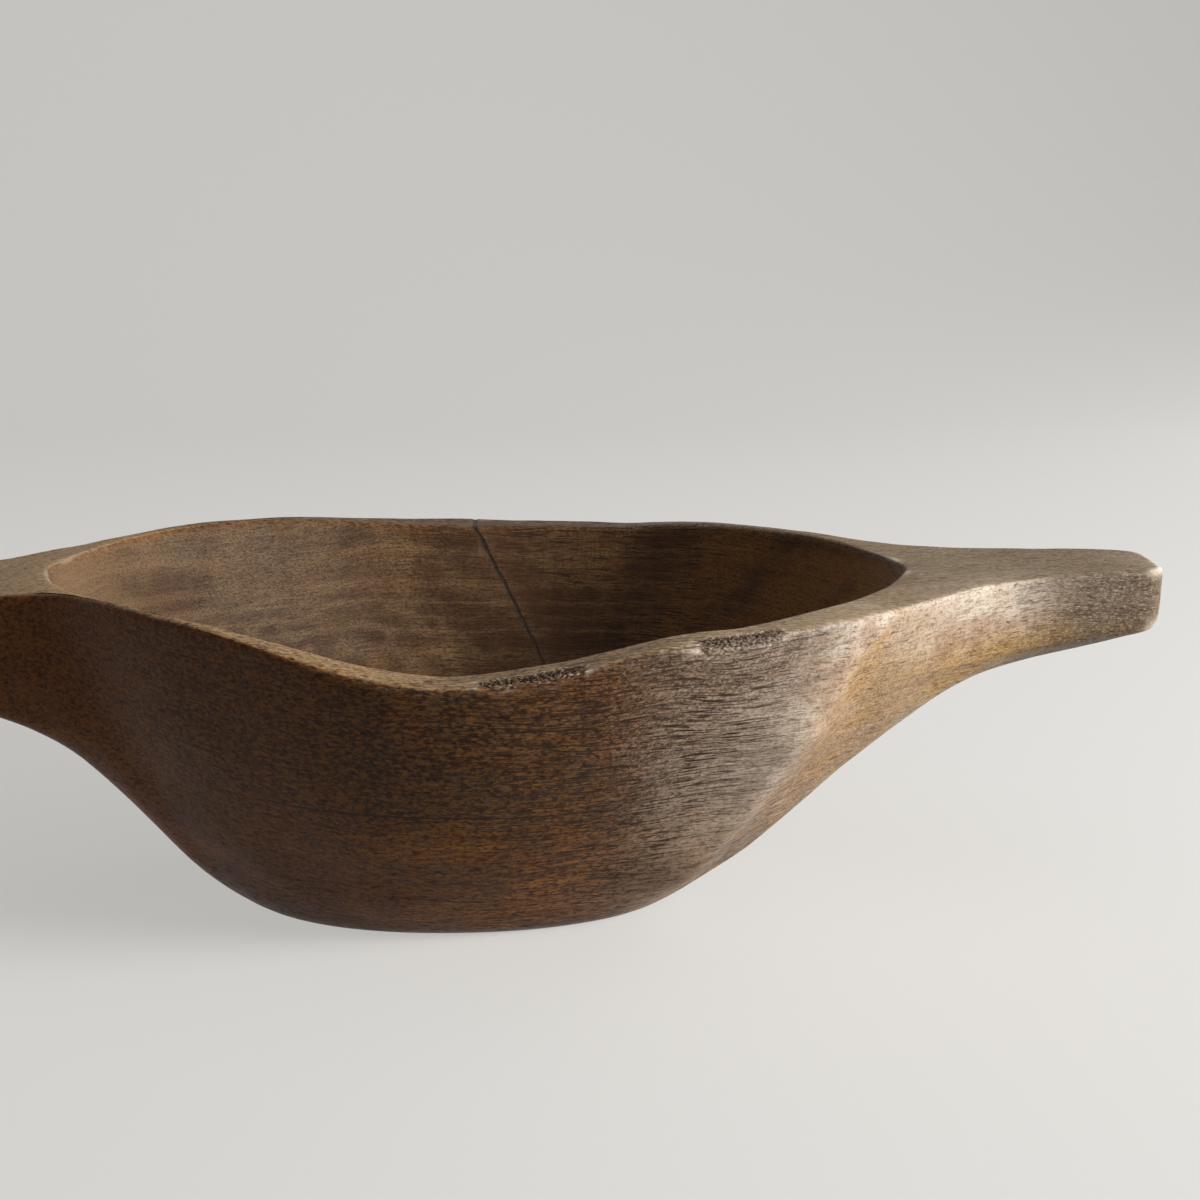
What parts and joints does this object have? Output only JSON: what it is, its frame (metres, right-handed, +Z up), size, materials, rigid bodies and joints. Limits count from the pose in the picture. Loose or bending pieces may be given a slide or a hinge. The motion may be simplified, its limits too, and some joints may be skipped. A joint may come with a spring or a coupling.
{
  "type": "wooden serving bowl",
  "caption": "Long hand-carved wooden serving bowl with an oval basin, a dipping rim, a solid grip at each end and a resin-filled crack in one wall.",
  "frame": {"origin": "middle of the flat underside of the bowl's overall box, on the surface that it stands on", "axes": "+X along the bowl towards the right grip, -Y towards the side whose rim dips lower, +Z up"},
  "size_m": [0.56, 0.276, 0.135],
  "materials": {
    "wood": "dry, lightly waxed, open grain",
    "resin": "satin"
  },
  "bodies": {
    "root": {"bowl_body": "wood", "crack_fill": "resin"}
  },
  "joints": []
}
